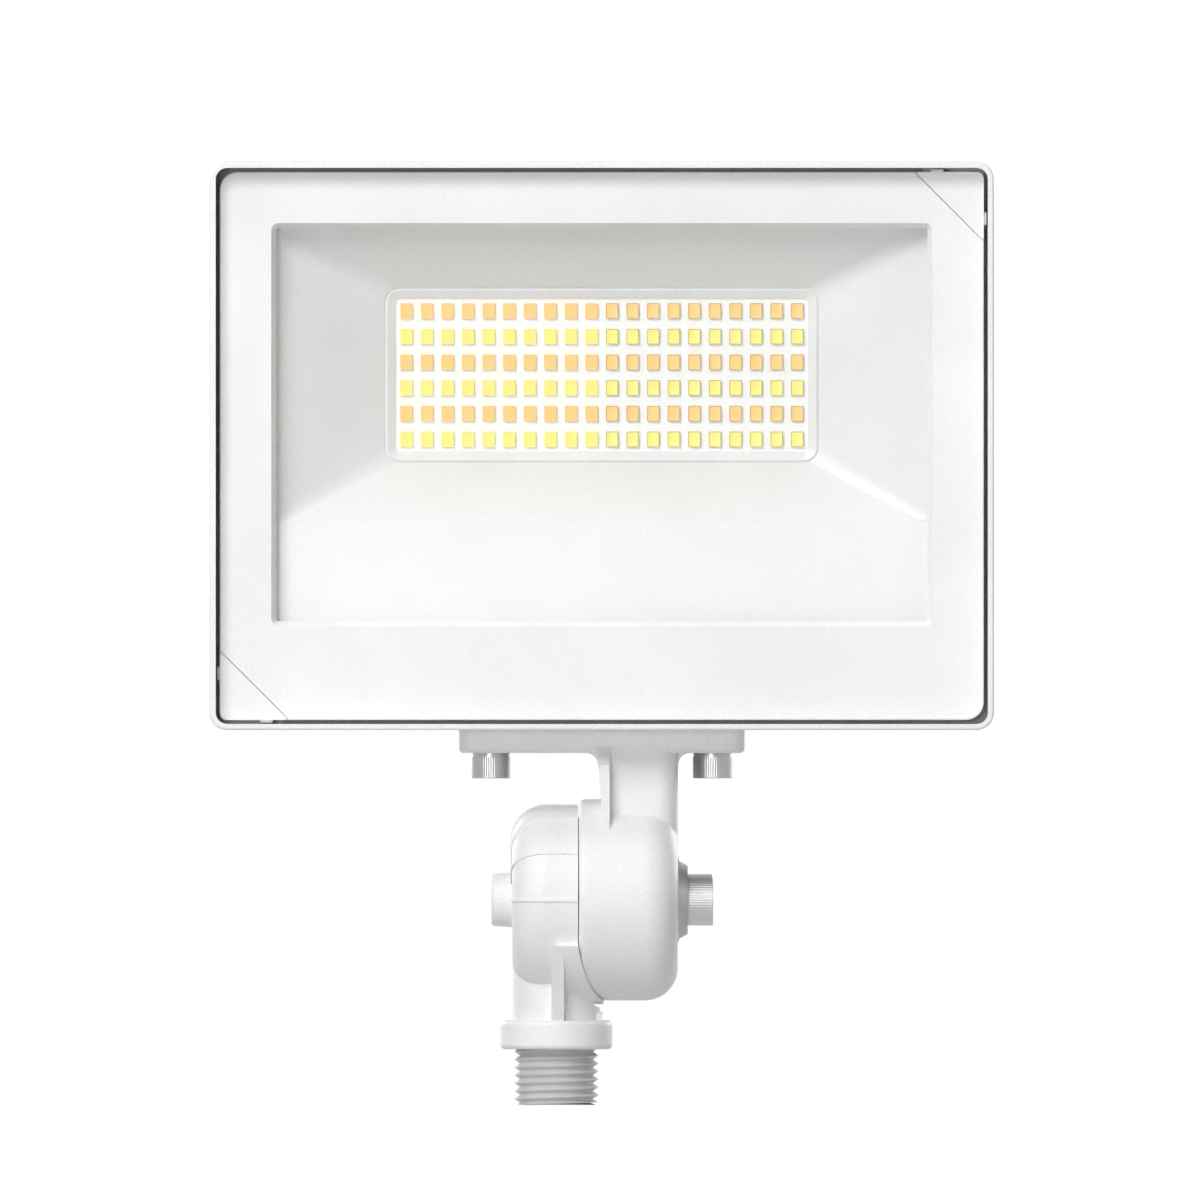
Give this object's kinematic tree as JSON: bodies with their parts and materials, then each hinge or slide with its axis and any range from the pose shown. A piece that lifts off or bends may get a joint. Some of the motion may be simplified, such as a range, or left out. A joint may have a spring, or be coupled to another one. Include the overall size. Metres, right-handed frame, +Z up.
{
  "type": "flood light",
  "caption": "White rectangular flood light with a flat clear window, reflector and LED array, tilting on a clamped cast swivel knuckle above a hollow threaded stem.",
  "frame": {"origin": "On the stem's axis, in the plane of the flange's seating face, where the threaded end begins.", "axes": "+Z runs up the stem, the light shines along -Y at rest, and the tilt axis lies along +X."},
  "size_m": [0.196, 0.0542, 0.236],
  "materials": {
    "white_coat": "satin",
    "thread_coat": "satin",
    "cap_plastic": "matte",
    "dark_silicone": "matte",
    "pale_silicone": "matte",
    "clear_glass": "polished",
    "reflector_white": "satin",
    "board_white": "matte",
    "warm_phosphor": "satin",
    "cool_phosphor": "satin",
    "pad_grey": "matte",
    "driver_plastic": "matte",
    "lead_insulation": "satin",
    "black_rubber": "matte",
    "bright_steel": "satin",
    "washer_steel": "satin"
  },
  "bodies": {
    "knuckle_base": {"knuckle_lower": "white_coat", "threaded_nipple": "thread_coat", "pivot_seal": "black_rubber"},
    "lamp_head": {"rear_housing": "white_coat", "front_frame": "white_coat", "frame_gasket": "dark_silicone", "corner_cap_upper": "cap_plastic", "corner_cap_lower": "cap_plastic", "frame_screws": "bright_steel", "lens_pane": "clear_glass", "lens_seal": "pale_silicone", "reflector": "reflector_white", "led_board": "board_white", "warm_leds": "warm_phosphor", "cool_leds": "cool_phosphor", "thermal_pad": "pad_grey", "board_screws": "bright_steel", "driver_module": "driver_plastic", "driver_screws": "bright_steel", "board_leads": "lead_insulation", "wire_grommet": "black_rubber", "knuckle_upper": "white_coat", "plate_seal": "black_rubber", "plate_screws": "bright_steel", "plate_spring_washers": "bright_steel", "clamp_washer": "washer_steel"},
    "clamp": {"clamp_bolt": "bright_steel"}
  },
  "joints": [
    {"name": "head_tilt", "type": "hinge", "parent": "knuckle_base", "child": "lamp_head", "pos_m": [0, 0, 0.0374], "axis": [1, 0, 0], "range_deg": [-90, 90]},
    {"name": "clamp_bolt_turn", "type": "hinge", "parent": "knuckle_base", "child": "clamp", "pos_m": [0, 0, 0.0374], "axis": [1, 0, 0], "continuous": true}
  ]
}
